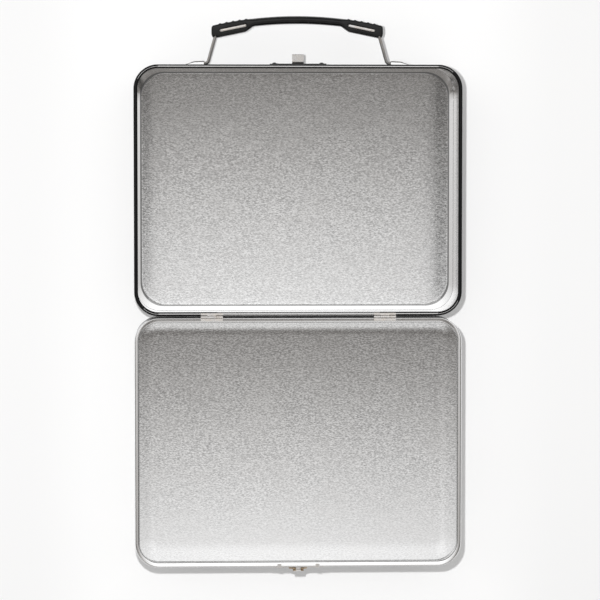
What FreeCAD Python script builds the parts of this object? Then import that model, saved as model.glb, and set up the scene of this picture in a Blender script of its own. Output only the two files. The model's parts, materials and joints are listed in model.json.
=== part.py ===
import FreeCAD, Part
import math
import os

import Sketcher

# Tin lunch box, lying open flat on the back panel of its body.
# Frame: X along the hinge line, Y from the lid to the handle, Z up from the surface it lies on.
# Origin: centre of the back panel's outer face. All lengths are in millimetres.

DRIVING_SIZES = {
    # Tin shells
    "box_width": 216.0,
    "box_length": 165.0,
    "corner_radius": 16.0,
    "body_depth": 58.0,
    "lid_depth": 24.0,
    "sheet_gauge": 0.5,
    "body_curl_radius": 1.3,
    "lid_curl_radius": 1.6,
    "foot_bend": 1.2,
    "hem_width": 1.8,
    # Panels and the ridge round their floor
    "panel_clearance": 0.1,
    "ridge_start": 1.8,
    "ridge_end": 5.1,
    "ridge_radius": 1.9,
    # Lid hinges
    "rim_gap": 1.3,
    "hinge_lift": 0.5,
    "hinge_spacing": 114.0,
    "hinge_width": 14.5,
    "hinge_middle": 6.0,
    "hinge_slack": 0.25,
    "knuckle_radius": 1.1,
    "hinge_pin_radius": 0.55,
    "running_clearance": 0.07,
    "leaf_gauge": 0.35,
    "leaf_inner": 1.3,
    "leaf_outer": 2.6,
    "leaf_leg": 13.0,
    # Latch plates and rivets
    "plate_width": 37.0,
    "plate_gauge": 0.6,
    "rivet_spacing": 31.0,
    "rivet_radius": 1.0,
    "rivet_head_radius": 1.7,
    "rivet_head_height": 0.9,
    "rivet_head_flat": 0.4,
    "rivet_head_round": 1.7,
    "keeper_plate_top": 2.0,
    "keeper_plate_height": 11.5,
    "keeper_rivet_drop": 7.5,
    # Keeper hook
    "hook_width": 7.6,
    "hook_gauge": 0.8,
    "hook_drop": 8.6,
    "hook_leg": 4.4,
    "hook_reach": 6.9,
    "hook_bend": 1.5,
    "hook_lip": 1.5,
    # Hasp
    "hasp_plate_top": 2.0,
    "hasp_plate_height": 11.5,
    "hasp_rivet_drop": 8.0,
    "hasp_axis_drop": 5.0,
    "hasp_axis_offset": 2.1,
    "hasp_knuckle_radius": 1.5,
    "hasp_pin_radius": 0.7,
    "hasp_middle": 3.0,
    "hasp_knuckles": 7.0,
    "hasp_width": 12.0,
    "hasp_length": 21.5,
    "hasp_gauge": 0.8,
    "hasp_slack": 0.2,
    "hasp_notch": 2.4,
    "window_width": 9.6,
    "window_start": 8.0,
    "window_end": 17.4,
    "claw_spacing": 25.2,
    "claw_width": 2.6,
    "claw_gauge": 0.4,
    "claw_reach": 2.0,
    # Handle
    "handle_drop": 18.0,
    "handle_offset": 1.3,
    "wire_radius": 1.05,
    "wire_foot_end": 67.5,
    "wire_foot_corner": 59.3,
    "wire_foot_bend": 2.2,
    "wire_grip_corner": 53.4,
    "wire_grip_height": 20.9,
    "wire_grip_bend": 3.0,
    "wire_end": 35.0,
    "wire_end_height": 24.7,
    "slot_clearance": 0.1,
    "grip_half_length": 56.8,
    "grip_above": 1.3,
    "grip_below": 6.7,
    "grip_crown": 31.2,
    "grip_arch_radius": 250.0,
    "grip_middle": 5.2,
    "grip_edge_round": 0.8,
    "block_top": 24.3,
    "block_side": 18.1,
    "block_heel": 55.4,
    "block_heel_height": 16.3,
    "block_toe": 34.0,
    "block_toe_height": 20.7,
    "block_slope_end": 27.0,
    "block_slope_height": 24.5,
    # Louvers for the handle's wires
    "louver_start": 61.9,
    "louver_shoulder": 68.5,
    "louver_end": 76.5,
    "louver_high": 3.45,
    "louver_low": 3.15,
    "louver_half_width": 2.5,
}


class Size:
    """A length, held as its number and as the sheet formula that gives it."""

    def __init__(self, number, formula):
        self.number = number
        self.formula = formula

    def __add__(self, other):
        other = as_size(other)
        return Size(self.number + other.number, f"({self.formula} + {other.formula})")

    def __sub__(self, other):
        other = as_size(other)
        return Size(self.number - other.number, f"({self.formula} - {other.formula})")

    def __mul__(self, factor):
        return Size(self.number * factor, f"({self.formula} * {factor})")

    def __truediv__(self, divisor):
        return Size(self.number / divisor, f"({self.formula} / {divisor})")

    def __neg__(self):
        return self * -1


def as_size(value):
    if isinstance(value, Size):
        return value
    return Size(float(value), f"{float(value)}")


doc = FreeCAD.newDocument("lunch_box")
sheet = doc.addObject("Spreadsheet::Sheet", "Sizes")
for row, (alias, number) in enumerate(DRIVING_SIZES.items(), start=1):
    sheet.set(f"A{row}", alias)
    sheet.set(f"B{row}", str(number))
    sheet.setAlias(f"B{row}", alias)
doc.recompute()

sizes = {alias: Size(number, f"Sizes.{alias}") for alias, number in DRIVING_SIZES.items()}
ZERO = as_size(0)
ALONG_X = FreeCAD.Rotation(FreeCAD.Vector(0, 0, 1), FreeCAD.Vector(1, 0, 0))
SIDES = {"left": -1, "right": 1}

# Places that several pieces share
half_width = sizes["box_width"] / 2
half_length = sizes["box_length"] / 2
hinge_y = -(half_length + sizes["rim_gap"] / 2)
hinge_z = sizes["body_depth"] + sizes["hinge_lift"]
lid_y = -(sizes["box_length"] + sizes["rim_gap"])
lid_base_z = sizes["body_depth"] - sizes["lid_depth"]
lid_face_y = lid_y - half_length
handle_y = half_length + sizes["handle_offset"]
handle_z = sizes["body_depth"] - sizes["handle_drop"]
hasp_y = lid_face_y - sizes["hasp_axis_offset"]
hasp_z = sizes["body_depth"] - sizes["hasp_axis_drop"]


def bind(thing, **formulas):
    for name, value in formulas.items():
        thing.setExpression(name, as_size(value).formula)


def place(thing, x=ZERO, y=ZERO, z=ZERO):
    for axis, value in (("x", x), ("y", y), ("z", z)):
        thing.setExpression(f"Placement.Base.{axis}", as_size(value).formula)


# Part solids


def block(name, low, high):
    """A box between two opposite corners."""
    solid = doc.addObject("Part::Box", name)
    low = [as_size(value) for value in low]
    spans = [as_size(top) - bottom for top, bottom in zip(high, low)]
    bind(solid, Length=spans[0], Width=spans[1], Height=spans[2])
    place(solid, *low)
    return solid


def rod(name, radius, length, x, y, z):
    """A round bar along X that starts at a point."""
    solid = doc.addObject("Part::Cylinder", name)
    solid.Placement = FreeCAD.Placement(FreeCAD.Vector(), ALONG_X)
    bind(solid, Radius=radius, Height=length)
    place(solid, x, y, z)
    return solid


def joined(name, solids):
    fusion = doc.addObject("Part::MultiFuse", name)
    fusion.Shapes = solids
    fusion.Refine = True
    return fusion


def drilled(name, base, tool):
    cut = doc.addObject("Part::Cut", name)
    cut.Base = base
    cut.Tool = tool
    cut.Refine = True
    return cut


# Sketches


def new_body(name, x=ZERO, y=ZERO, z=ZERO):
    body = doc.addObject("PartDesign::Body", name)
    place(body, x, y, z)
    return body


def origin_plane(body, role):
    return next(feature for feature in body.Origin.OriginFeatures if feature.Role == role)


def new_sketch(body, name, role, offset=ZERO):
    """An empty sketch on one of the body's own planes, moved along that plane's normal."""
    sketch = body.newObject("Sketcher::SketchObject", name)
    sketch.AttachmentSupport = (origin_plane(body, role), [""])
    sketch.MapMode = "FlatFace"
    sketch.setExpression("AttachmentOffset.Base.z", as_size(offset).formula)
    return sketch


def hold(sketch, kind, name, elements, size):
    """A dimension of a sketch that follows the sheet."""
    sketch.addConstraint(Sketcher.Constraint(kind, *elements, size.number))
    index = sketch.ConstraintCount - 1
    sketch.renameConstraint(index, name)
    sketch.setExpression(f"Constraints.{name}", size.formula)


def hold_point(sketch, name, geometry, end, across, up):
    hold(sketch, "DistanceX", f"{name}_across", (-1, 1, geometry, end), across)
    hold(sketch, "DistanceY", f"{name}_up", (-1, 1, geometry, end), up)


def arc_between(start, end, radius, turn, large):
    """The arc from start to end; turn is 1 where it runs anticlockwise and -1 where it runs clockwise."""
    chord = end - start
    rise = math.sqrt(max(radius ** 2 - (chord.Length / 2) ** 2, 0))
    normal = FreeCAD.Vector(-chord.y, chord.x, 0).normalize()
    side = -turn if large else turn
    centre = (start + end) * 0.5 + normal * rise * side
    first, last = (start, end) if turn > 0 else (end, start)
    angles = [math.atan2(point.y - centre.y, point.x - centre.x) for point in (first, last)]
    circle = Part.Circle(centre, FreeCAD.Vector(0, 0, 1), radius)
    return Part.ArcOfCircle(circle, *angles)


def outline(sketch, corners, prefix="corner"):
    """A closed line through corners of (across, up), or of (across, up, radius, turn, large) before an arc."""
    corners = [tuple(map(as_size, corner[:2])) + tuple(corner[2:]) for corner in corners]
    points = [FreeCAD.Vector(corner[0].number, corner[1].number, 0) for corner in corners]
    first = sketch.GeometryCount
    starts = []
    ends = []
    for index, corner in enumerate(corners):
        start = points[index]
        end = points[(index + 1) % len(points)]
        if len(corner) == 2:
            geometry = sketch.addGeometry(Part.LineSegment(start, end), False)
            starts.append((geometry, 1))
            ends.append((geometry, 2))
            continue
        radius, turn, large = corner[2:]
        geometry = sketch.addGeometry(arc_between(start, end, radius.number, turn, large), False)
        starts.append((geometry, 1) if turn > 0 else (geometry, 2))
        ends.append((geometry, 2) if turn > 0 else (geometry, 1))
    for index, end in enumerate(ends):
        sketch.addConstraint(Sketcher.Constraint("Coincident", *end, *starts[(index + 1) % len(starts)]))
    for index, corner in enumerate(corners):
        hold_point(sketch, f"{prefix}{index}", *starts[index], corner[0], corner[1])
        if len(corner) > 2:
            hold(sketch, "Radius", f"{prefix}{index}_radius", (first + index,), corner[2])


def ring(sketch, name, across, up, radius):
    """A full circle."""
    across, up = as_size(across), as_size(up)
    centre = FreeCAD.Vector(across.number, up.number, 0)
    circle = Part.Circle(centre, FreeCAD.Vector(0, 0, 1), radius.number)
    geometry = sketch.addGeometry(circle, False)
    hold_point(sketch, name, geometry, 3, across, up)
    hold(sketch, "Radius", f"{name}_radius", (geometry,), radius)


def rounded_rectangle(inset):
    """Corners of the shells' outline, a given distance inside it, from the middle of the right side."""
    across = half_width - inset
    up = half_length - inset
    radius = sizes["corner_radius"] - inset
    bend = (radius, 1, False)
    return [
        (across, ZERO),
        (across, up - radius, *bend),
        (across - radius, up),
        (radius - across, up, *bend),
        (-across, up - radius),
        (-across, radius - up, *bend),
        (radius - across, -up),
        (across - radius, -up, *bend),
        (across, radius - up),
    ]


def bent_path(sketch, corners, radii):
    """An open line through corners, with a round bend of its own radius at each inner corner."""
    corners = [tuple(map(as_size, corner)) for corner in corners]
    points = [FreeCAD.Vector(across.number, up.number, 0) for across, up in corners]
    legs = [(end - start).normalize() for start, end in zip(points, points[1:])]
    entries = [points[0]]
    exits = []
    for before, after, point, radius in zip(legs, legs[1:], points[1:], radii):
        tangent = radius.number * math.tan(before.getAngle(after) / 2)
        exits.append(point - before * tangent)
        entries.append(point + after * tangent)
    exits.append(points[-1])
    lines = [sketch.addGeometry(Part.LineSegment(*ends), False) for ends in zip(entries, exits)]
    for index, radius in enumerate(radii):
        turn = 1 if legs[index].cross(legs[index + 1]).z > 0 else -1
        arc = arc_between(exits[index], entries[index + 1], radius.number, turn, False)
        bend = sketch.addGeometry(arc, False)
        corner = sketch.addGeometry(Part.Point(points[index + 1]), True)
        start, end = (1, 2) if turn > 0 else (2, 1)
        sketch.addConstraint(Sketcher.Constraint("Tangent", lines[index], 2, bend, start))
        sketch.addConstraint(Sketcher.Constraint("Tangent", bend, end, lines[index + 1], 1))
        sketch.addConstraint(Sketcher.Constraint("PointOnObject", corner, 1, lines[index]))
        sketch.addConstraint(Sketcher.Constraint("PointOnObject", corner, 1, lines[index + 1]))
        hold(sketch, "Radius", f"bend{index}_radius", (bend,), radius)
        hold_point(sketch, f"bend{index}", corner, 1, *corners[index + 1])
    hold_point(sketch, "start", lines[0], 1, *corners[0])
    hold_point(sketch, "end", lines[-1], 2, *corners[-1])


# Features of a body


def pad(body, name, sketch, length, reverse=False):
    feature = body.newObject("PartDesign::Pad", name)
    feature.Profile = sketch
    feature.Reversed = reverse
    bind(feature, Length=length)
    doc.recompute()
    return feature


def pocket(body, name, sketch, length, reverse=False):
    """A cut from a sketch, which has to take something away."""
    before = body.Shape.Volume
    feature = body.newObject("PartDesign::Pocket", name)
    feature.Profile = sketch
    feature.Reversed = reverse
    bind(feature, Length=length)
    doc.recompute()
    if body.Shape.Volume >= before:
        raise RuntimeError(f"{name} cuts nothing")
    return feature


def swept(body, name, kind, section, path):
    feature = body.newObject(kind, name)
    feature.Profile = section
    feature.Spine = path
    doc.recompute()
    return feature


def mirrored(body, name, features):
    """The same features again on the other side of the middle plane."""
    feature = body.newObject("PartDesign::Mirrored", name)
    feature.Originals = features
    feature.MirrorPlane = (origin_plane(body, "YZ_Plane"), [""])
    body.Tip = feature
    doc.recompute()
    return feature


# Tin shells


def curled_wall(name, depth, curl, y, z):
    """A band of sheet, turned in at its foot and rolled inwards at its rim."""
    body = new_body(name, y=y, z=z)
    gauge = sizes["sheet_gauge"]
    bend = sizes["foot_bend"]
    hem = sizes["hem_width"]
    path = new_sketch(body, f"{name}_path", "XY_Plane")
    outline(path, rounded_rectangle(ZERO))
    section = new_sketch(body, f"{name}_section", "XZ_Plane")
    rim = depth - curl
    outline(section, [
        (half_width - hem, ZERO),
        (half_width - bend, ZERO, bend, 1, False),
        (half_width, bend),
        (half_width, rim, curl, 1, True),
        (half_width - curl, rim - curl),
        (half_width - curl, rim - curl + gauge, curl - gauge, -1, True),
        (half_width - gauge, rim),
        (half_width - gauge, bend, bend - gauge, -1, False),
        (half_width - bend, gauge),
        (half_width - hem, gauge),
    ])
    swept(body, f"{name}_band", "PartDesign::AdditivePipe", section, path)
    return body


def ridged_panel(name, y, z):
    """A flat panel with a raised ridge round its floor and a lip that lies on the wall's hem."""
    body = new_body(name, y=y, z=z)
    gauge = sizes["sheet_gauge"]
    lip = half_width - sizes["foot_bend"] - sizes["panel_clearance"]
    start = half_width - sizes["ridge_start"]
    end = half_width - sizes["ridge_end"]
    field = new_sketch(body, f"{name}_field_outline", "XY_Plane")
    outline(field, rounded_rectangle(sizes["ridge_end"]))
    pad(body, f"{name}_field", field, gauge)
    path = new_sketch(body, f"{name}_path", "XY_Plane")
    outline(path, rounded_rectangle(ZERO))
    section = new_sketch(body, f"{name}_section", "XZ_Plane")
    outline(section, [
        (lip, gauge),
        (lip, gauge * 2),
        (start, gauge * 2, sizes["ridge_radius"], 1, False),
        (end, gauge),
        (end - gauge, gauge),
        (end - gauge, ZERO),
        (end + gauge, ZERO),
        (end + gauge, gauge, sizes["ridge_radius"] - gauge, -1, False),
        (start - gauge, gauge),
    ])
    swept(body, f"{name}_ridge", "PartDesign::AdditivePipe", section, path)
    return body


def rivet_holes(body, name, height, towards_handle):
    """Two round holes through the latch side of a wall."""
    holes = new_sketch(body, f"{name}_circles", "XZ_Plane")
    for side, sign in SIDES.items():
        ring(holes, side, sizes["rivet_spacing"] / 2 * sign, height, sizes["rivet_radius"])
    pocket(body, name, holes, sizes["box_length"], reverse=not towards_handle)


def louvers(body):
    """Two pressed hoods on the handle side, open towards the middle."""
    gauge = sizes["sheet_gauge"]
    start = sizes["louver_start"]
    shoulder = sizes["louver_shoulder"]
    half_high = sizes["louver_half_width"]
    hood = new_sketch(body, "louver_hood_outline", "XY_Plane", handle_z - half_high)
    outline(hood, [
        (start, half_length - gauge / 2),
        (sizes["louver_end"], half_length - gauge / 2),
        (sizes["louver_end"], half_length),
        (shoulder, half_length + sizes["louver_low"]),
        (start, half_length + sizes["louver_high"]),
    ])
    hood_pad = pad(body, "louver_hood", hood, half_high * 2)
    hollow = new_sketch(body, "louver_hollow_outline", "XY_Plane", handle_z + half_high - gauge)
    outline(hollow, [
        (start - gauge, half_length),
        (shoulder, half_length - gauge * 2),
        (sizes["louver_end"] - gauge * 4, half_length),
        (shoulder - gauge / 2, half_length + sizes["louver_low"] - gauge),
        (start - gauge, half_length + sizes["louver_high"] - gauge),
    ])
    hollow_cut = pocket(body, "louver_hollow", hollow, (half_high - gauge) * 2)
    mirrored(body, "louver_pair", [hood_pad, hollow_cut])


# Lid hinges


def leaf(name, x, towards, zones, bore):
    """A leaf on one rim: top plate, knuckles on its own zones of the pin, and legs on the wall's outside."""
    rim = sizes["body_depth"]
    gauge = sizes["leaf_gauge"]
    half = sizes["hinge_width"] / 2
    wall = sizes["rim_gap"] / 2

    def span(name, x_low, x_high, near, far, z_low, z_high):
        """A box between two distances from the pin, on this leaf's side of it."""
        edges = [hinge_y + near * towards, hinge_y + far * towards]
        edges.sort(key=lambda size: size.number)
        return block(name, (x_low, edges[0], z_low), (x_high, edges[1], z_high))

    pieces = [span(f"{name}_top", x - half, x + half, sizes["leaf_inner"], sizes["leaf_outer"], rim, rim + gauge)]
    bores = []
    for index, (low, high) in enumerate(zones):
        radius = sizes["knuckle_radius"]
        length = high - low
        pieces.append(rod(f"{name}_knuckle{index}", radius, length, x + low, hinge_y, hinge_z))
        pieces.append(span(f"{name}_bridge{index}", x + low, x + high, wall, sizes["leaf_outer"], rim, rim + gauge))
        pieces.append(span(
            f"{name}_leg{index}", x + low, x + high, wall - gauge, wall, rim - sizes["leaf_leg"], rim + gauge))
        bores.append(rod(f"{name}_bore{index}", bore, length, x + low, hinge_y, hinge_z))
    plate = joined(f"{name}_blank", pieces)
    tool = bores[0] if len(bores) == 1 else joined(f"{name}_bores", bores)
    return drilled(name, plate, tool)


def lid_hinge(side, sign):
    x = sizes["hinge_spacing"] / 2 * sign
    half = sizes["hinge_width"] / 2
    middle = sizes["hinge_middle"] / 2
    gap = middle + sizes["hinge_slack"]
    pin = sizes["hinge_pin_radius"]
    return [
        leaf(f"hinge_leaf_body_{side}", x, 1, [(-middle, middle)], pin),
        leaf(f"hinge_leaf_lid_{side}", x, -1, [(-half, -gap), (gap, half)], pin + sizes["running_clearance"]),
        rod(f"hinge_pin_{side}", pin, half * 2, x - half, hinge_y, hinge_z),
    ]


# Latch


def rivets(name, wall_y, out, z):
    """Two rivets with a domed head outside the plate and a flat one inside the wall."""
    gauge = sizes["sheet_gauge"]
    grip = sizes["plate_gauge"] + gauge
    shank = sizes["rivet_radius"]
    head = sizes["rivet_head_radius"]
    dome = sizes["rivet_head_height"]
    pair = []
    for side, sign in SIDES.items():
        rivet = doc.addObject("PartDesign::Body", f"{name}_{side}")
        # The rivet's own Z points out of the wall.
        outwards = FreeCAD.Rotation(FreeCAD.Vector(0, 0, 1), FreeCAD.Vector(0, out, 0))
        rivet.Placement = FreeCAD.Placement(FreeCAD.Vector(), outwards)
        place(rivet, sizes["rivet_spacing"] / 2 * sign, wall_y - gauge * out, z)
        profile = new_sketch(rivet, f"{name}_{side}_profile", "XZ_Plane")
        outline(profile, [
            (ZERO, -gauge),
            (head, -gauge),
            (head, ZERO),
            (shank, ZERO),
            (shank, grip),
            (head, grip, sizes["rivet_head_round"], 1, False),
            (sizes["rivet_head_flat"], grip + dome),
            (ZERO, grip + dome),
        ])
        turned = rivet.newObject("PartDesign::Revolution", f"{name}_{side}_turned")
        turned.Profile = profile
        turned.ReferenceAxis = (profile, ["V_Axis"])
        turned.Angle = 360
        pair.append(rivet)
    group = doc.addObject("Part::Compound", name)
    group.Links = pair
    return group


def keeper_plate():
    top = sizes["body_depth"] - sizes["keeper_plate_top"]
    bottom = top - sizes["keeper_plate_height"]
    half = sizes["plate_width"] / 2
    body = new_body("keeper_plate", y=half_length)
    sketch = new_sketch(body, "keeper_plate_outline", "XZ_Plane")
    outline(sketch, [(-half, bottom), (half, bottom), (half, top), (-half, top)])
    for side, sign in SIDES.items():
        height = sizes["body_depth"] - sizes["keeper_rivet_drop"]
        ring(sketch, side, sizes["rivet_spacing"] / 2 * sign, height, sizes["rivet_radius"])
    pad(body, "keeper_plate_sheet", sketch, sizes["plate_gauge"], reverse=True)
    return body


def keeper_hook():
    """A strap that runs up the plate, turns out through a round bend and ends in a lip turned down."""
    gauge = sizes["hook_gauge"]
    bend = sizes["hook_bend"]
    back = sizes["plate_gauge"]
    front = back + gauge
    top = sizes["body_depth"] - sizes["hook_drop"]
    under = top - gauge
    foot = top - sizes["hook_leg"]
    lip = top - sizes["hook_lip"]
    reach = sizes["hook_reach"]
    body = new_body("keeper_hook", x=-sizes["hook_width"] / 2, y=half_length)
    sketch = new_sketch(body, "keeper_hook_profile", "YZ_Plane")
    outline(sketch, [
        (back, foot),
        (back, top - bend, bend, -1, False),
        (back + bend, top),
        (reach - gauge, top, gauge, -1, False),
        (reach, under),
        (reach, lip),
        (reach - gauge, lip),
        (reach - gauge, under),
        (back + bend, under, bend - gauge, 1, False),
        (front, top - bend),
        (front, foot),
    ])
    pad(body, "keeper_hook_strap", sketch, sizes["hook_width"])
    return body


def hasp_plate():
    """A plate on the lid's front with a knuckle in its middle and two claws folded over the rim."""
    rim = sizes["body_depth"]
    top = rim - sizes["hasp_plate_top"]
    bottom = top - sizes["hasp_plate_height"]
    half = sizes["plate_width"] / 2
    front = lid_face_y - sizes["plate_gauge"]
    middle = sizes["hasp_middle"] / 2
    knuckle = sizes["hasp_knuckle_radius"]
    claw = sizes["claw_gauge"]
    pieces = [
        block("hasp_plate_sheet", (-half, front, bottom), (half, lid_face_y, top)),
        rod("hasp_plate_knuckle", knuckle, middle * 2, -middle, hasp_y, hasp_z),
        block("hasp_plate_web", (-middle, hasp_y, hasp_z), (middle, lid_face_y, hasp_z + knuckle)),
    ]
    for side, sign in SIDES.items():
        left = sizes["claw_spacing"] / 2 * sign - sizes["claw_width"] / 2
        right = left + sizes["claw_width"]
        over = lid_face_y + sizes["claw_reach"]
        pieces.append(block(f"claw_{side}_riser", (left, front, bottom), (right, lid_face_y, rim + claw)))
        pieces.append(block(f"claw_{side}_fold", (left, front, rim), (right, over, rim + claw)))
    holes = [rod("hasp_plate_bore", sizes["hasp_pin_radius"], middle * 2, -middle, hasp_y, hasp_z)]
    for side, sign in SIDES.items():
        hole = doc.addObject("Part::Cylinder", f"hasp_plate_hole_{side}")
        hole.Placement = FreeCAD.Placement(FreeCAD.Vector(), FreeCAD.Rotation(FreeCAD.Vector(1, 0, 0), 90))
        bind(hole, Radius=sizes["rivet_radius"], Height=sizes["plate_gauge"])
        place(hole, sizes["rivet_spacing"] / 2 * sign, lid_face_y, rim - sizes["hasp_rivet_drop"])
        holes.append(hole)
    return drilled("hasp_plate", joined("hasp_plate_blank", pieces), joined("hasp_plate_holes", holes))


def hasp_pin():
    half = sizes["hasp_knuckles"] / 2
    return rod("hasp_pin", sizes["hasp_pin_radius"], half * 2, -half, hasp_y, hasp_z)


def hasp():
    """A swinging plate with a rounded end, a window for the keeper hook, sloping shoulders and two knuckles."""
    half = sizes["hasp_width"] / 2
    outer = sizes["hasp_knuckles"] / 2
    shoulder = sizes["hasp_knuckle_radius"]
    end = sizes["hasp_length"]
    inner = sizes["hasp_middle"] / 2 + sizes["hasp_slack"]
    notch = sizes["hasp_notch"]
    window = sizes["window_width"] / 2
    body = new_body("hasp_sheet", y=hasp_y - sizes["hasp_gauge"] / 2, z=hasp_z)
    sketch = new_sketch(body, "hasp_outline", "XZ_Plane")
    outline(sketch, [
        (outer, ZERO),
        (inner, ZERO),
        (inner, -notch),
        (-inner, -notch),
        (-inner, ZERO),
        (-outer, ZERO),
        (-outer, -shoulder),
        (-half, outer - half - shoulder),
        (-half, half - end, half, 1, False),
        (ZERO, -end, half, 1, False),
        (half, half - end),
        (half, outer - half - shoulder),
        (outer, -shoulder),
    ])
    outline(sketch, [
        (-window, -sizes["window_end"]),
        (window, -sizes["window_end"]),
        (window, -sizes["window_start"]),
        (-window, -sizes["window_start"]),
    ], prefix="window")
    pad(body, "hasp_plate_pad", sketch, sizes["hasp_gauge"], reverse=True)
    bore = sizes["hasp_pin_radius"] + sizes["running_clearance"]
    pieces = [body]
    for side, sign in SIDES.items():
        start = inner if sign > 0 else -outer
        pieces.append(rod(
            f"hasp_knuckle_{side}", sizes["hasp_knuckle_radius"], outer - inner, start, hasp_y, hasp_z))
    hole = rod("hasp_bore", bore, outer * 2, -outer, hasp_y, hasp_z)
    return drilled("hasp", joined("hasp_blank", pieces), hole)


# Handle


def wire_path(sketch, sign):
    bent_path(
        sketch,
        [
            (sizes["wire_foot_end"] * sign, ZERO),
            (sizes["wire_foot_corner"] * sign, ZERO),
            (sizes["wire_grip_corner"] * sign, sizes["wire_grip_height"]),
            (sizes["wire_end"] * sign, sizes["wire_end_height"]),
        ],
        [sizes["wire_foot_bend"], sizes["wire_grip_bend"]],
    )


def handle_wire(side, sign):
    """A round wire: foot under the louver, leg out to the grip, and a run along the grip's end block."""
    name = f"handle_wire_{side}"
    body = new_body(name, y=handle_y, z=handle_z)
    path = new_sketch(body, f"{name}_path", "XY_Plane")
    wire_path(path, sign)
    section = new_sketch(body, f"{name}_section", "YZ_Plane", sizes["wire_foot_end"] * sign)
    ring(section, "wire", ZERO, ZERO, sizes["wire_radius"])
    swept(body, f"{name}_bar", "PartDesign::AdditivePipe", section, path)
    return body


def handle_grip():
    """An arched bar with a deeper block at each end, slotted from above for the wires."""
    end = sizes["grip_half_length"]
    crown = sizes["grip_crown"]
    arch = sizes["grip_arch_radius"]
    under = crown - sizes["grip_middle"]
    above = sizes["grip_above"]
    below = sizes["grip_below"]
    body = new_body("handle_grip", y=handle_y, z=handle_z)
    shape = new_sketch(body, "grip_outline", "XY_Plane", -below)
    right = [
        (end, sizes["block_top"]),
        (end, sizes["block_side"]),
        (sizes["block_heel"], sizes["block_heel_height"]),
        (sizes["block_toe"], sizes["block_toe_height"]),
        (sizes["block_slope_end"], sizes["block_slope_height"]),
    ]
    left = [(-across, up) for across, up in reversed(right)]
    outline(shape, [
        (ZERO, crown, arch, -1, False),
        *right[:-1],
        (*right[-1], arch, 1, False),
        (ZERO, under, arch, 1, False),
        *left[:-1],
        (*left[-1], arch, -1, False),
    ])
    bar = pad(body, "grip_bar", shape, above + below)
    rims = [f"Edge{index}" for index, edge in enumerate(bar.Shape.Edges, start=1)
            if edge.BoundBox.ZLength < edge.Length / 2]
    rounded = body.newObject("PartDesign::Fillet", "grip_edges")
    rounded.Base = (bar, rims)
    bind(rounded, Radius=sizes["grip_edge_round"])
    doc.recompute()
    path = new_sketch(body, "grip_slot_path", "XY_Plane")
    wire_path(path, 1)
    section = new_sketch(body, "grip_slot_section", "YZ_Plane", sizes["wire_foot_end"])
    reach = sizes["wire_radius"] + sizes["slot_clearance"]
    outline(section, [(-reach, -reach), (reach, -reach), (reach, above * 2), (-reach, above * 2)])
    slot = swept(body, "grip_slot", "PartDesign::SubtractivePipe", section, path)
    mirrored(body, "grip_slots", [slot])
    return body


# Assembly


def build():
    body_wall = curled_wall("body_wall", sizes["body_depth"], sizes["body_curl_radius"], ZERO, ZERO)
    keeper_height = sizes["body_depth"] - sizes["keeper_rivet_drop"]
    rivet_holes(body_wall, "keeper_holes", keeper_height, towards_handle=True)
    louvers(body_wall)
    lid_wall = curled_wall("lid_wall", sizes["lid_depth"], sizes["lid_curl_radius"], lid_y, lid_base_z)
    rivet_holes(lid_wall, "hasp_holes", sizes["lid_depth"] - sizes["hasp_rivet_drop"], towards_handle=False)
    nodes = [
        body_wall,
        ridged_panel("body_panel", ZERO, ZERO),
        lid_wall,
        ridged_panel("lid_panel", lid_y, lid_base_z),
        keeper_plate(),
        keeper_hook(),
        rivets("keeper_rivets", half_length, 1, keeper_height),
        hasp_plate(),
        rivets("hasp_rivets", lid_face_y, -1, sizes["body_depth"] - sizes["hasp_rivet_drop"]),
        hasp_pin(),
        hasp(),
        handle_grip(),
    ]
    for side, sign in SIDES.items():
        nodes += lid_hinge(side, sign)
        nodes.append(handle_wire(side, sign))
    return nodes


def check(nodes):
    """Stops where an object of the document failed or a piece has no sound solid."""
    for thing in doc.Objects:
        if "Invalid" in thing.State or "Error" in thing.State:
            raise RuntimeError(f"{thing.Name} failed: {thing.State}")
    for node in nodes:
        shape = node.Shape
        if shape.isNull() or not shape.isValid() or not shape.Solids:
            raise RuntimeError(f"{node.Label} has no valid solid")


nodes = build()
doc.recompute()
check(nodes)
os.makedirs("parts", exist_ok=True)
for node in nodes:
    node.Shape.exportStep(f"parts/{node.Label}.step")
    box = node.Shape.BoundBox
    print(
        f"{node.Label}: {len(node.Shape.Solids)} solids, {node.Shape.Volume:.1f} mm3,"
        f" x {box.XMin:.2f} to {box.XMax:.2f}, y {box.YMin:.2f} to {box.YMax:.2f},"
        f" z {box.ZMin:.2f} to {box.ZMax:.2f}"
    )
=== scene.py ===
import json
import math

import bmesh
import bpy
from mathutils import Matrix, Vector


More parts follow.
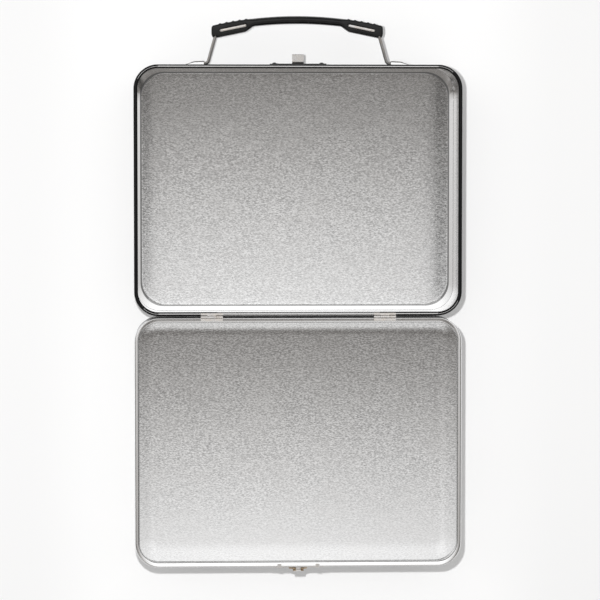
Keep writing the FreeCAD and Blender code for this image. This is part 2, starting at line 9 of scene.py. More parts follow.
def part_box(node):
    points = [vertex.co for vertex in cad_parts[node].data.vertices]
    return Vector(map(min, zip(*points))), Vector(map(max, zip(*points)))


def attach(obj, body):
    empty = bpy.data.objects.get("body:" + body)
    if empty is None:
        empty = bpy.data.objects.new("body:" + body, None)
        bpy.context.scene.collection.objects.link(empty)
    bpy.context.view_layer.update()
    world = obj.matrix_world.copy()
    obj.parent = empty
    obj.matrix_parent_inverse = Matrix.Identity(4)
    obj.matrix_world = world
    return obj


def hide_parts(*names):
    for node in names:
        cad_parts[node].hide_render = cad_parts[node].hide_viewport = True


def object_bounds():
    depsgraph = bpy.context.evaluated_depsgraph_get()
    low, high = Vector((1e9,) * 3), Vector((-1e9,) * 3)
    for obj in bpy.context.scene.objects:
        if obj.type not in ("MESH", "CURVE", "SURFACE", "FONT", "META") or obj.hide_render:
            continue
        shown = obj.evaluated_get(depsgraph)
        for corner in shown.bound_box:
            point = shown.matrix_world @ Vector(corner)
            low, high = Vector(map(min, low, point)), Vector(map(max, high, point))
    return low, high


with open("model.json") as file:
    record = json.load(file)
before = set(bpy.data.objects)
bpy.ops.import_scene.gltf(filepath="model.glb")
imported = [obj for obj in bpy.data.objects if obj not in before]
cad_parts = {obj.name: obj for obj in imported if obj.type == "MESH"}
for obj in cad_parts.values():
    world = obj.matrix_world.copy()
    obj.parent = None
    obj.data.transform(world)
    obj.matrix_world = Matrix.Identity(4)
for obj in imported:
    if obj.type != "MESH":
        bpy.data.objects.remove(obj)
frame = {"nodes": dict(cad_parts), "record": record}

# Tin lunch box, lying open flat, dressed for a look from almost straight above.
# The frame is the part's own: X along the hinge line, Y towards the handle, Z up. Lengths are in metres.

cad_low, cad_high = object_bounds()
MM = 0.001
SIDES = {"left": -1, "right": 1}
SHARP_DEGREES = 38

# Places that the frame gives
wall_low, wall_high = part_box("body_wall")
lid_low, lid_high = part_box("lid_wall")
HALF_WIDTH = wall_high.x
HALF_LENGTH = -wall_low.y
RIM_Z = wall_high.z
LID_Y = (lid_low.y + lid_high.y) / 2
LID_BASE_Z = lid_low.z
LID_DEPTH = RIM_Z - LID_BASE_Z
JOINTS = {joint["name"]: joint for joint in frame["record"]["behaviour"]["joints"]}
HANDLE = Vector(JOINTS["handle_hinge"]["pos_m"])

# Sheet metal
GAUGE = 0.5 * MM
CORNER = 16 * MM
LEAST_CORNER = 0.5 * MM
FOOT_BEND = 1.2 * MM
HEM = 1.8 * MM
CORNER_STEPS = 24
SIDE_STEPS = 24
CURL_STEPS = 28
BEND_STEPS = 8
WALL_STEPS = 4
HALF_TURN = [math.pi * step / BEND_STEPS for step in range(BEND_STEPS + 1)]
# Rolled rims: their radius, and each roll's roundness, from 1 for round to less for flat, with its slant
BODY_CURL = 1.3 * MM
LID_CURL = 1.6 * MM
ROUND_RIM = (1.0, 0.0)
LID_END_RIM = (0.36, 0.2)
LID_SIDE_RIM = (0.8, 0.0)
# Quarters of the outline, each a corner and the run after it; the one by the body's hinge is by the latch on
# the lid
QUARTER_STEPS = CORNER_STEPS + SIDE_STEPS
HANDLE_QUARTER = 0
HINGE_QUARTER = 2
# The painted highlight on the body's rim, bare tin in place of its black paint: the step of its crest, the
# share of the hinge run where the whole roll is bare, and how far it goes into the corners before and after
# the runs along X
CREST_STEP = 9
BARE_SHARE = 0.62
HIGHLIGHT_FROM = 0.5
HIGHLIGHT_UNTIL = 0.7

# Panels: a lip on the hem, a border that is coved up towards the wall, and a flat field
LIP_INSET = 1.3 * MM
BORDER_START = 0.6 * MM
BODY_BORDER = 5.0 * MM
LID_BORDER = 13 * MM
# Coves: the radius of their bend and the slope where the bend ends
BODY_COVE = (2 * MM, 0.22)
LID_COVE = (30 * MM, 0.20)
# The body's border: a seam at the cove's foot, darkened as painted shade, then a ridge round the field, both
# wider at the corners
SEAM = (3.2 * MM, 4.1 * MM)
RIDGE_CREST = 4.5 * MM
RIDGE_HEIGHT = 0.04 * MM
FIELD_ROUND = 5.5 * MM
# How the coves' steepness varies round the panels: in the body's corners by the handle it grows over the
# first CORNER_EASE of the turn from the side and later falls off towards the handle, and by the lid's latch
# it is low. CORNER_WIDER makes up for the wider border in the middle of a corner.
CORNER_STEEPEST = 1.9
CORNER_EASE = math.radians(12)
CORNER_EVEN = 0.86
CORNER_WIDER = 0.45
LATCH_DROP = 0.7
# How deep the fields' middle would lie below their ends, how far they lean and how much they are crowned
# across: all this is slight, and is in the bump of their tin
BODY_SAG = 4.8 * MM
BODY_TILT = 0.025
LID_SAG = 5.1 * MM
LID_TILT = -0.033
CROWN = 2.2 * MM
# How strong the tin's grain is along each field, from -1 at its end away from the handle to 1 at the other
BODY_GRAIN = [(-1.0, 0.9), (-0.6, 0.95), (-0.1, 1.4), (0.25, 1.4), (0.6, 0.9), (1.0, 0.9)]
LID_GRAIN = [
    (-1.0, 0.3),
    (-0.8, 0.4),
    (-0.6, 0.7),
    (-0.4, 0.95),
    (-0.15, 1.25),
    (0.3, 1.45),
    (0.6, 1.3),
    (1.0, 0.9),
]
EDGE_STEPS = 32
FIELD_RINGS = 26

# Handle, as distances along X and heights along Y from its hinge axis; above and below are along Z.
# A power below 1 makes a round section squarer.
WIRE_RADIUS = 1.05 * MM
WIRE_CORNERS = [(67.5 * MM, 0.0), (59.3 * MM, 0.0), (53.4 * MM, 20.9 * MM), (33.4 * MM, 25 * MM)]
WIRE_BENDS = [2.2 * MM, 3 * MM]
WIRE_SIDES = 20
DOME_DEGREES = range(10, 91, 16)
BAR_POWER = 0.5
BORE_GAP = 0.2 * MM
WINDOW_ENDS = (34.2 * MM, 50 * MM)
WINDOW_GAP = 0.3 * MM
# The grip: an arch that is thin and oval in its middle and slopes down to a boxy block at each end
GRIP_HALF = 56.8 * MM
GRIP_CROWN = 31.2 * MM
GRIP_ARCH = 250 * MM
GRIP_MIDDLE = 5.2 * MM
GRIP_SLOPE_START = 29 * MM
GRIP_TOE = (34 * MM, 20.7 * MM)
GRIP_HEEL = (55.4 * MM, 16.3 * MM)
GRIP_END_Y = 18.1 * MM
GRIP_ABOVE = 1.3 * MM
GRIP_BELOW = 6.7 * MM
GRIP_ROUND = 1.4 * MM
GRIP_SOFTEN = 0.8 * MM
GRIP_SHIFTS = (-1, -0.5, 0, 0.5, 1)
GRIP_OVAL = 2.5
GRIP_BOXY = 6.0
GRIP_STEPS = 300
GRIP_SIDES = 40
# Ribs across the top of each block
RIB_FIRST = 34 * MM
RIB_PITCH = 4.3 * MM
RIB_COUNT = 5
RIB_WIDTH = 2.2 * MM
RIB_HEIGHT = 0.5 * MM

# Louvers that hold the handle's wires on the body's wall
LOUVER_MOUTH = 61.9 * MM
LOUVER_SHOULDER = 68.5 * MM
LOUVER_TIP = 76.5 * MM
LOUVER_MOUTH_HEIGHT = 3.45 * MM
LOUVER_SHOULDER_HEIGHT = 3.15 * MM
LOUVER_HALF_WIDTH = 2.5 * MM
LOUVER_LEAST = 1.2 * GAUGE
LOUVER_SINK = 0.1 * GAUGE
LOUVER_POWER = 0.7
LOUVER_STEPS = 30
LOUVER_SIDES = 18
# The slot behind a louver ends short of its tip and goes right through the wall
SLOT_SHORT = 2 * MM
SLOT_INSIDE = 2 * GAUGE
SLOT_OUTSIDE = 0.2 * GAUGE


# Meshes


def add_object(name, data):
    """A new object of the scene."""
    added = bpy.data.objects.new(name, data)
    bpy.context.scene.collection.objects.link(added)
    return added


def new_piece(name, points, faces, materials, face_slots=None):
    """A smooth mesh piece; face_slots gives each face's material."""
    mesh = bpy.data.meshes.new(name)
    mesh.from_pydata([tuple(point) for point in points], [], faces)
    for material in materials:
        mesh.materials.append(material)
    if face_slots:
        mesh.polygons.foreach_set("material_index", face_slots)
    shape = bmesh.new()
    shape.from_mesh(mesh)
    bmesh.ops.recalc_face_normals(shape, faces=shape.faces)
    shape.to_mesh(mesh)
    shape.free()
    mesh.polygons.foreach_set("use_smooth", [True] * len(mesh.polygons))
    mesh.set_sharp_from_angle(angle=math.radians(SHARP_DEGREES))
    mesh.update()
    return add_object(name, mesh)


def dressed(piece, body, slot, *nodes):
    """Sets a piece on its body, in the place of CAD nodes."""
    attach(piece, body)
    if nodes:
        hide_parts(*nodes)
    return piece


def grid_faces(rows, columns, close_rows=False, close_columns=False):
    """Quads of a grid of points held row by row."""
    faces = []
    for row in range(rows if close_rows else rows - 1):
        below = (row + 1) % rows
        for column in range(columns if close_columns else columns - 1):
            beside = (column + 1) % columns
            faces.append((
                row * columns + column,
                below * columns + column,
                below * columns + beside,
                row * columns + beside,
            ))
    return faces


def arc(centre, radius, start_degrees, end_degrees, steps):
    """Points of an arc in a plane, both ends included."""
    points = []
    for step in range(steps + 1):
        angle = math.radians(start_degrees + (end_degrees - start_degrees) * step / steps)
        points.append((centre[0] + radius * math.cos(angle), centre[1] + radius * math.sin(angle)))
    return points


def rounded_power(value, power):
    """A power of a value that keeps its sign."""
    return math.copysign(abs(value) ** power, value)


def rounded_outline(inset, rounder=0.0):
    """Points round the shells' outline, a given distance inside it, anticlockwise from the right side;
    rounder is added to the radius of its corners."""
    across = HALF_WIDTH - inset
    along = HALF_LENGTH - inset
    radius = max(CORNER - inset, LEAST_CORNER) + rounder
    centres = [(1, 1), (-1, 1), (-1, -1), (1, -1)]
    points = []
    for quarter, (x_sign, y_sign) in enumerate(centres):
        centre = (x_sign * (across - radius), y_sign * (along - radius))
        bend = arc(centre, radius, 90 * quarter, 90 * quarter + 90, CORNER_STEPS)
        next_x, next_y = centres[(quarter + 1) % 4]
        angle = math.radians(90 * quarter + 90)
        end_x = next_x * (across - radius) + radius * math.cos(angle)
        end_y = next_y * (along - radius) + radius * math.sin(angle)
        start_x, start_y = bend[-1]
        points += bend
        for step in range(1, SIDE_STEPS):
            share = step / SIDE_STEPS
            points.append((start_x + (end_x - start_x) * share, start_y + (end_y - start_y) * share))
    return points


# Materials

SEED_SHIFT = (1.0, 0.7, 1.3)
STREAK_MEAN = 0.5
BRASS_YELLOW = (0.54, 0.42, 0.28, 1.0)
BRASS_BROWN = (0.22, 0.14, 0.09, 1.0)


class Nodes:
    """A node tree with short ways of adding to it; an input takes a constant or another node's output."""

    def __init__(self, tree):
        self.tree = tree

    def node(self, kind, inputs=None, **settings):
        """A new node with its settings and its inputs by name or number."""
        node = self.tree.nodes.new(kind)
        for name, value in settings.items():
            setattr(node, name, value)
        for name, value in (inputs or {}).items():
            self.feed(node.inputs[name], value)
        return node

    def feed(self, socket, value):
        if isinstance(value, bpy.types.NodeSocket):
            self.tree.links.new(value, socket)
        else:
            socket.default_value = value

    def math(self, operation, first, second=0.0):
        return self.node("ShaderNodeMath", {0: first, 1: second}, operation=operation).outputs[0]

    def remap(self, value, low, high, to_low=0.0, to_high=1.0, interpolation="LINEAR"):
        """A value moved from one range to another and held in it."""
        ranged = self.node(
            "ShaderNodeMapRange",
            {"Value": value, "From Min": low, "From Max": high, "To Min": to_low, "To Max": to_high},
            interpolation_type=interpolation,
        )
        return ranged.outputs["Result"]

    def ramp(self, value, points, warmth=0.0):
        """A value from -1 to 1 put through a line of points, as a colour of which 1 is the highest point,
        and that point's level; with some warmth, dim parts are brownish."""
        highest = max(level for place, level in points)
        ramp = self.node("ShaderNodeValToRGB", {"Fac": self.remap(value, -1.0, 1.0)})
        stops = ramp.color_ramp.elements
        while len(stops) < len(points):
            stops.new(1.0)
        for stop, (place, level) in zip(stops, points):
            stop.position = (place + 1) / 2
            stop.color = grey(level / highest, warmth * (1 - level / highest) ** 2)
        return ramp.outputs["Color"], highest

    def axes(self, vector):
        """The X, Y and Z of a vector."""
        return self.node("ShaderNodeSeparateXYZ", {"Vector": vector}).outputs

    def seen(self):
        """1 for what the camera sees straight, mirrored or through glass, and 0 for other light."""
        path = self.node("ShaderNodeLightPath").outputs
        straight_or_mirrored = self.math("ADD", path["Is Camera Ray"], path["Is Glossy Ray"])
        return self.math("ADD", straight_or_mirrored, path["Is Transmission Ray"])


class Shader(Nodes):
    """A material's nodes; constants are values of its surface's own inputs."""

    def __init__(self, name, **constants):
        self.material = bpy.data.materials.new(name)
        self.material.use_nodes = True
        super().__init__(self.material.node_tree)
        self.surface = self.tree.nodes["Principled BSDF"]
        for socket, value in constants.items():
            self.surface.inputs[socket.replace("_", " ")].default_value = value
        self.place = self.node("ShaderNodeTexCoord").outputs["Object"]

    def noise(self, size, stretch=(1, 1, 1), detail=4.0, roughness=0.55, seed=0.0):
        """Noise in 0 to 1 with a size in metres and a stretch along each axis; a seed shifts it."""
        mapped = self.node(
            "ShaderNodeMapping",
            {
                "Vector": self.place,
                "Location": [seed * shift for shift in SEED_SHIFT],
                "Scale": [1 / (size * longer) for longer in stretch],
            },
        )
        texture = self.node(
            "ShaderNodeTexNoise",
            {"Vector": mapped.outputs["Vector"], "Scale": 1.0, "Detail": detail, "Roughness": roughness},
        )
        return texture.outputs["Fac"]

    def mix(self, factor, first, second):
        """A colour between two colours."""
        mixer = self.node("ShaderNodeMix", {0: factor}, data_type="RGBA")
        self.feed(mixer.inputs[6], first)
        self.feed(mixer.inputs[7], second)
        return mixer.outputs[2]

    def finish(self, colour=None, roughness=None, metallic=None, bumps=()):
        """Feeds the surface; bumps are pairs of a height value and a depth in metres."""
        normal = None
        for height, depth in bumps:
            bump = self.node("ShaderNodeBump", {"Height": height, "Distance": depth, "Strength": 1.0})
            if normal:
                self.feed(bump.inputs["Normal"], normal)
            normal = bump.outputs["Normal"]
        fed = {"Base Color": colour, "Roughness": roughness, "Metallic": metallic, "Normal": normal}
        for socket, value in fed.items():
            if value is not None:
                self.feed(self.surface.inputs[socket], value)
        return self.material


def grey(level, warmth=0.0):
    """A grey, or with some warmth a brownish grey."""
    return (level * (1 + warmth), level, level * (1 - warmth), 1.0)


def sagging(shader, middle, sag, tilt):
    """Height of a sheet that sags along Y between its ends, is a little askew and is crowned along X."""
    place = shader.axes(shader.place)
    along = shader.math("SUBTRACT", place["Y"], middle)
    bend = shader.math("MULTIPLY", along, sag / HALF_LENGTH ** 2)
    trough = shader.math("MULTIPLY", along, shader.math("ADD", bend, tilt))
    across = shader.math("MULTIPLY", place["X"], place["X"])
    return shader.math("SUBTRACT", trough, shader.math("MULTIPLY", across, CROWN / HALF_WIDTH ** 2))


def grain_along(shader, streak, middle, points):
    """Streaks that are stronger or weaker along Y, by a line of points from end to end of the sheet."""
    from_middle = shader.math("SUBTRACT", shader.axes(shader.place)["Y"], middle)
    level, highest = shader.ramp(shader.math("DIVIDE", from_middle, HALF_LENGTH), points)
    uneven = shader.math("SUBTRACT", streak, STREAK_MEAN)
    varied = shader.math("MULTIPLY", uneven, shader.math("MULTIPLY", level, highest))
    return shader.math("ADD", varied, STREAK_MEAN)


def bare_tin(name, grain, roughness, middle=0.80, field=None, grain_points=None):
    """Tinplate with short rolled streaks, faint clouding and a few scratches. grain is how strong the
    streaks are and middle how pale the tin is. field is the middle, sag and tilt of a sheet that is not
    quite flat, and grain_points is how its grain varies."""
    shader = Shader(name, Metallic=1.0)
    streak = shader.noise(size=0.82 * MM, stretch=(1.8, 0.9, 0.9), detail=2.0, roughness=0.6)
    if field:
        streak = grain_along(shader, streak, field[0], grain_points)
    cloud = shader.noise(size=22 * MM, detail=3.0, seed=3.0)
    scratch = shader.noise(size=2.2 * MM, stretch=(9.0, 0.35, 0.35), detail=2.0, seed=7.0)
    darkest = grey(middle - 0.30 * grain)
    palest = grey(middle + 0.19 * grain)
    streaked = shader.mix(shader.remap(streak, 0.3, 0.7), darkest, palest)
    clouding = shader.remap(cloud, 0.35, 0.75, 0.0, 0.35)
    clouded = shader.mix(clouding, streaked, grey(middle - 0.06, 0.01))
    scratching = shader.remap(scratch, 0.70, 0.78, 0.0, 0.35 * grain)
    colour = shader.mix(scratching, clouded, grey(0.94))
    uneven = shader.remap(streak, 0.25, 0.75, roughness - 0.06, roughness + 0.06)
    bumps = [(streak, 0.03 * MM * grain), (scratch, 0.008 * MM * grain)]
    if field:
        bumps.insert(0, (sagging(shader, *field), 1.0))
    return shader.finish(colour, uneven, bumps=bumps)


def black_enamel():
    """Gloss black paint, slightly uneven, with worn flecks."""
    shader = Shader("black_enamel", Specular_IOR_Level=0.2)
    cloud = shader.noise(size=9 * MM)
    peel = shader.noise(size=0.9 * MM, detail=2.0, seed=2.0)
    fleck = shader.noise(size=0.7 * MM, stretch=(1.5, 1.5, 1.0), detail=5.0, seed=5.0)
    paint = shader.mix(cloud, grey(0.003), grey(0.007, -0.05))
    worn = shader.remap(fleck, 0.72, 0.76)
    colour = shader.mix(worn, paint, grey(0.25, 0.03))
    roughness = shader.remap(cloud, 0.3, 0.7, 0.16, 0.30)
    return shader.finish(colour, roughness, bumps=[(peel, 0.008 * MM)])


def satin_nickel(name, level, dullness=0.3):
    """Plated strip with fine scuffs and a warm tint where it is worn."""
    shader = Shader(name, Metallic=1.0)
    scuff = shader.noise(size=0.5 * MM, stretch=(3.0, 0.7, 0.7))
    tint = shader.noise(size=5 * MM, detail=3.0, seed=4.0)
    plate = shader.mix(shader.remap(tint, 0.4, 0.7), grey(level, 0.02), grey(level * 0.96, 0.08))
    scuffing = shader.remap(scuff, 0.45, 0.75, 0.0, 0.5)
    colour = shader.mix(scuffing, plate, grey(level * 0.75, 0.02))
    roughness = shader.remap(scuff, 0.3, 0.7, dullness - 0.08, dullness + 0.1)
    return shader.finish(colour, roughness, bumps=[(scuff, 0.006 * MM)])


def worn_brass():
    """Brass with brown stains."""
    shader = Shader("worn_brass", Metallic=1.0)
    stain = shader.noise(size=1.4 * MM)
    colour = shader.mix(shader.remap(stain, 0.35, 0.7), BRASS_YELLOW, BRASS_BROWN)
    roughness = shader.remap(stain, 0.3, 0.7, 0.25, 0.5)
    return shader.finish(colour, roughness, bumps=[(stain, 0.01 * MM)])


def black_plastic():
    """Moulded plastic with a fine skin and greyish rubbed patches."""
    shader = Shader("black_plastic", Specular_IOR_Level=0.28)
    skin = shader.noise(size=0.35 * MM, detail=3.0)
    rub = shader.noise(size=7 * MM, stretch=(1.6, 1.0, 1.0), detail=5.0, seed=6.0)
    colour = shader.mix(shader.remap(rub, 0.4, 0.75), grey(0.006), grey(0.016, 0.01))
    roughness = shader.remap(rub, 0.35, 0.7, 0.16, 0.28)
    return shader.finish(colour, roughness, bumps=[(skin, 0.006 * MM)])


def blackened_steel():
    """Thin black paint on small stamped steel, rubbed to metal in spots."""
    shader = Shader("blackened_steel", Coat_Weight=0.2, Coat_Roughness=0.2)
    grain = shader.noise(size=0.6 * MM)
    spots = shader.noise(size=1.6 * MM, detail=5.0, seed=8.0)
    worn = shader.remap(spots, 0.62, 0.70)
    paint = shader.mix(grain, grey(0.014), grey(0.035))
    colour = shader.mix(worn, paint, grey(0.34, 0.04))
    roughness = shader.remap(grain, 0.3, 0.7, 0.25, 0.42)
    return shader.finish(colour, roughness, worn, [(grain, 0.01 * MM)])


PANEL_GRAIN = 1.12
PANEL_ROUGHNESS = 0.20
BODY_FIELD = (0.0, BODY_SAG, BODY_TILT)
LID_FIELD = (LID_Y, LID_SAG, LID_TILT)
BODY_TIN = bare_tin("body_tin", PANEL_GRAIN, PANEL_ROUGHNESS, field=BODY_FIELD, grain_points=BODY_GRAIN)
LID_TIN = bare_tin("lid_tin", PANEL_GRAIN, PANEL_ROUGHNESS, field=LID_FIELD, grain_points=LID_GRAIN)
BAND_TIN = bare_tin("band_tin", grain=0.08, roughness=0.15, middle=0.92)
# Tin darkened as painted shade in the body's seam, and a less dark copy of it for the seam on the hinge side
SEAM_SHADE_TIN = bare_tin("painted_seam_shade", grain=0.1, roughness=0.35, middle=0.3)
PALE_SEAM_SHADE_TIN = bare_tin("pale_painted_seam_shade", grain=0.1, roughness=0.35, middle=0.5)
# Bare tin for the painted highlight on the body rim's crest and on the roll between the hinges
RIM_HIGHLIGHT_TIN = bare_tin("rim_highlight_tin", grain=0.2, roughness=0.2, middle=0.75)
ENAMEL = black_enamel()
NICKEL = satin_nickel("satin_nickel", level=0.72)
BRIGHT_NICKEL = satin_nickel("bright_nickel", level=0.98)
WIRE_STEEL = satin_nickel("wire_steel", level=0.52, dullness=0.5)
# A paler copy of the wire's steel for its part in the grip, a painted highlight
BAR_PAINTED_HIGHLIGHT = satin_nickel("bar_painted_highlight", level=0.9, dullness=0.4)
HOOK_NICKEL = satin_nickel("hook_nickel", level=0.7)
BRASS = worn_brass()
PLASTIC = black_plastic()
BLACKENED = blackened_steel()


# Tin shells

# Material slots of the walls and of the panels
PAINTED, BARE, RIM_HIGHLIGHT = range(3)
# The panels' seam slots hold painted shade: darker, and paler on the hinge side
FIELD, BORDER, DARK_SEAM_SHADE, PALE_SEAM_SHADE = range(4)


def rolled_rim(centre, radius, start_degrees, end_degrees, roundness, slant):
    """Points of a rolled rim's arc, flattened on its crest and slanting down towards the inside."""
    points = []
    for inset, height in arc((0.0, 0.0), radius, start_degrees, end_degrees, CURL_STEPS):
        across = rounded_power(inset / radius, roundness) * radius
        up = rounded_power(height / radius, roundness) * radius
        drop = slant * (across + radius) * max(up / radius, 0.0)
        points.append((centre[0] + across, centre[1] + up - drop))
    return points


def wall_profile(depth, curl, roundness, slant):
    """Points of the wall's section as (inset, height), outside first."""
    rim = depth - curl
    outside = [(HEM, 0.0)]
    outside += arc((FOOT_BEND, FOOT_BEND), FOOT_BEND, 270, 180, BEND_STEPS)
    outside += [(0.0, FOOT_BEND + (rim - FOOT_BEND) * step / WALL_STEPS) for step in range(1, WALL_STEPS)]
    outside += rolled_rim((curl, rim), curl, 180, -90, roundness, slant)
    inside = rolled_rim((curl, rim), curl - GAUGE, -90, 180, roundness, slant)
    inside += [(GAUGE, rim + (FOOT_BEND - rim) * step / WALL_STEPS) for step in range(1, WALL_STEPS)]
    inside += arc((FOOT_BEND, FOOT_BEND), FOOT_BEND - GAUGE, 180, 270, BEND_STEPS)
    inside += [(HEM, GAUGE)]
    return outside, inside


def is_rim_highlight(curl_step, column):
    """Whether the body's rim gets bare tin as a painted highlight: along its crest on the runs that follow X
    and round parts of the corners, and right round the roll between the hinges."""
    quarter, step = divmod(column, QUARTER_STEPS)
    on_run = step >= CORNER_STEPS
    if quarter == HINGE_QUARTER and on_run:
        from_middle = abs(step - CORNER_STEPS + 0.5 - SIDE_STEPS / 2)
        if from_middle < SIDE_STEPS * BARE_SHARE / 2:
            return True
    on_end = quarter in (HANDLE_QUARTER, HINGE_QUARTER) and (on_run or step > CORNER_STEPS * HIGHLIGHT_FROM)
    past_end = quarter in (HANDLE_QUARTER + 1, HINGE_QUARTER + 1) and step < CORNER_STEPS * HIGHLIGHT_UNTIL
    width = 1 if on_run else 0
    return (on_end or past_end) and abs(curl_step - CREST_STEP) <= width


def ease(share):
    """A soft step from 0 to 1."""
    share = min(max(share, 0.0), 1.0)
    return 0.5 - 0.5 * math.cos(math.pi * share)


def side_share(column):
    """How far a column of the outline belongs to the runs along Y: 1 on them, 0 on the runs along X."""
    quarter, step = divmod(column, QUARTER_STEPS)
    turned = ease(step / CORNER_STEPS)
    return 1 - turned if quarter % 2 == 0 else turned


def curled_wall(name, depth, curl, y, z, painted_rim, end_rim, side_rim):
    """A band of sheet with a hem at its foot and a rolled rim. Its outside is painted, and with painted_rim
    its rim too. Each rim is the roll's roundness and slant, on the runs along X or along Y."""
    outside, inside = wall_profile(depth, curl, *end_rim)
    section = outside + inside
    side_outside, side_inside = wall_profile(depth, curl, *side_rim)
    points = []
    for (inset, height), (side_inset, side_height) in zip(section, side_outside + side_inside):
        end_points = rounded_outline(inset)
        side_points = rounded_outline(side_inset)
        for column in range(len(end_points)):
            end = Vector((*end_points[column], height))
            side = Vector((*side_points[column], side_height))
            points.append(end.lerp(side, side_share(column)) + Vector((0, y, z)))
    columns = len(points) // len(section)
    faces = grid_faces(len(section), columns, close_rows=True, close_columns=True)
    rim_start = len(outside) - 1 - CURL_STEPS
    last_painted = len(outside) - 1 if painted_rim else rim_start
    slots = []
    for face in range(len(faces)):
        row, column = divmod(face, columns)
        if row >= last_painted:
            slots.append(BARE)
        # Bare tin on the painted rim's crest is a painted highlight
        elif row >= rim_start and is_rim_highlight(row - rim_start, column):
            slots.append(RIM_HIGHLIGHT)
        else:
            slots.append(PAINTED)
    return new_piece(name, points, faces, [ENAMEL, BAND_TIN, RIM_HIGHLIGHT_TIN], slots)


def cove_height(reach, radius, steepest):
    """Height of a cove that bends up with a radius until it is steep enough and then runs straight."""
    bend = min(reach, radius * steepest)
    return bend ** 2 / (2 * radius) + steepest * (reach - bend)


def body_rise(column):
    """How much steeper than elsewhere the body's cove is at a column of the outline."""
    quarter, step = divmod(column, QUARTER_STEPS)
    if quarter > HANDLE_QUARTER + 1 or step > CORNER_STEPS:
        return 1.0
    from_side = step if quarter == HANDLE_QUARTER else CORNER_STEPS - step
    angle = math.pi / 2 * from_side / CORNER_STEPS
    easing = 1 + (CORNER_STEEPEST - 1) * angle / CORNER_EASE
    even = CORNER_EVEN / max(math.sin(angle), CORNER_EVEN / CORNER_STEEPEST)
    return max(1.0, min(easing, even)) * (1 + CORNER_WIDER * math.sin(2 * angle))


def lid_rise(column):
    """How much of its steepness elsewhere the lid's cove has at a column of the outline."""
    if column // QUARTER_STEPS < HINGE_QUARTER:
        return 1.0
    return 1 - LATCH_DROP * (1 - side_share(column))


def beside_run(column, quarter):
    """Whether a column is on a quarter's run or on the near halves of the corners at its ends."""
    from_start = column - quarter * QUARTER_STEPS - CORNER_STEPS // 2
    return from_start % (4 * QUARTER_STEPS) < QUARTER_STEPS


def painted_seam_shade(column):
    """The slot of the painted shade in the seam at a column of the outline: paler on the hinge side."""
    return PALE_SEAM_SHADE if beside_run(column, HINGE_QUARTER) else DARK_SEAM_SHADE


def panel_piece(name, y, z, rings, tins, ring_tins):
    """A sheet from rings of (x, y, height), from its lip inwards; ring_tins gives each ring's materials."""
    columns = len(rings[0])
    top = [Vector((px, py + y, height + z + GAUGE)) for ring in rings for px, py, height in ring]
    top.append(Vector((0, y, z + GAUGE)))
    under = [point - Vector((0, 0, GAUGE)) for point in top]
    middle = len(top) - 1
    last_ring = (len(rings) - 1) * columns
    faces = grid_faces(len(rings), columns, close_columns=True)
    faces += [(last_ring + column, middle, last_ring + (column + 1) % columns) for column in range(columns)]
    flipped = [tuple(index + len(top) for index in reversed(face)) for face in faces]
    edge = [
        (column, (column + 1) % columns, (column + 1) % columns + len(top), column + len(top))
        for column in range(columns)
    ]
    slots = [tin for ring in ring_tins for tin in ring]
    return new_piece(name, top + under, faces + flipped + edge, tins, slots * 2 + ring_tins[0])


def coved_panel(name, y, z, border, cove, rise, ridge_height, rounder, tins):
    """A flat sheet with a lip on the hem and a border that curves up towards the wall. rise gives the
    cove's steepness at each column, rounder is added to the field's corners, and tins are those of the
    field, the border, and the seam's painted shade, dark and, on the hinge side, paler. Where there is a
    ridge, it runs round the field inside the seam."""
    seam_start, seam_end = SEAM
    cove_foot = seam_end if ridge_height else border
    lip = rounded_outline(LIP_INSET)
    columns = range(len(lip))
    rings = [[(px, py, GAUGE) for px, py in lip]]
    ring_tins = [[BORDER for column in columns]]
    for step in range(EDGE_STEPS + 1):
        share = step / EDGE_STEPS
        inset = BORDER_START + (border - BORDER_START) * share
        climb = cove_height(max(cove_foot - inset, 0.0), *cove)
        up_ridge = ease((inset - seam_end) / (RIDGE_CREST - seam_end))
        down_ridge = ease((inset - RIDGE_CREST) / (border - RIDGE_CREST))
        rings.append([
            (px, py, climb * rise(column) + ridge_height * (up_ridge - down_ridge))
            for column, (px, py) in enumerate(rounded_outline(inset, rounder * share))
        ])
        if inset >= cove_foot:
            ring_tins.append([FIELD for column in columns])
        elif ridge_height and inset >= seam_start:
            ring_tins.append([painted_seam_shade(column) for column in columns])
        else:
            ring_tins.append([BORDER for column in columns])
    outline = rings[-1]
    for ring in range(1, FIELD_RINGS):
        share = 1 - ring / FIELD_RINGS
        rings.append([(px * share, py * share, 0.0) for px, py, _ in outline])
        ring_tins.append([FIELD for column in columns])
    return panel_piece(name, y, z, rings, tins, ring_tins)


body_shell = curled_wall("body_shell", RIM_Z, BODY_CURL, 0.0, 0.0, True, ROUND_RIM, ROUND_RIM)
lid_shell = curled_wall(
    "lid_shell", LID_DEPTH, LID_CURL, LID_Y, LID_BASE_Z, False, LID_END_RIM, LID_SIDE_RIM)
body_tins = [BODY_TIN, BAND_TIN, SEAM_SHADE_TIN, PALE_SEAM_SHADE_TIN]
body_floor = coved_panel(
    "body_floor", 0.0, 0.0, BODY_BORDER, BODY_COVE, body_rise, RIDGE_HEIGHT, FIELD_ROUND, body_tins)
lid_floor = coved_panel(
    "lid_floor", LID_Y, LID_BASE_Z, LID_BORDER, LID_COVE, lid_rise, 0.0, 0.0, [LID_TIN, LID_TIN])
dressed(body_shell, "body", "tin_enamelled", "body_wall")
dressed(lid_shell, "lid", "tin_enamelled", "lid_wall")
dressed(body_floor, "body", "tin_bare", "body_panel")
dressed(lid_floor, "lid", "tin_bare", "lid_panel")


# Handle and its louvers


def cut(piece, cutter):
    """Takes a cutter's shape out of a piece for good."""
    modifier = piece.modifiers.new("cut", "BOOLEAN")
    modifier.object = cutter
    modifier.solver = "EXACT"
    evaluated = piece.evaluated_get(bpy.context.evaluated_depsgraph_get())
    mesh = bpy.data.meshes.new_from_object(evaluated)
    piece.modifiers.remove(modifier)
    piece.data = mesh
    mesh.set_sharp_from_angle(angle=math.radians(SHARP_DEGREES))
    bpy.data.objects.remove(cutter)


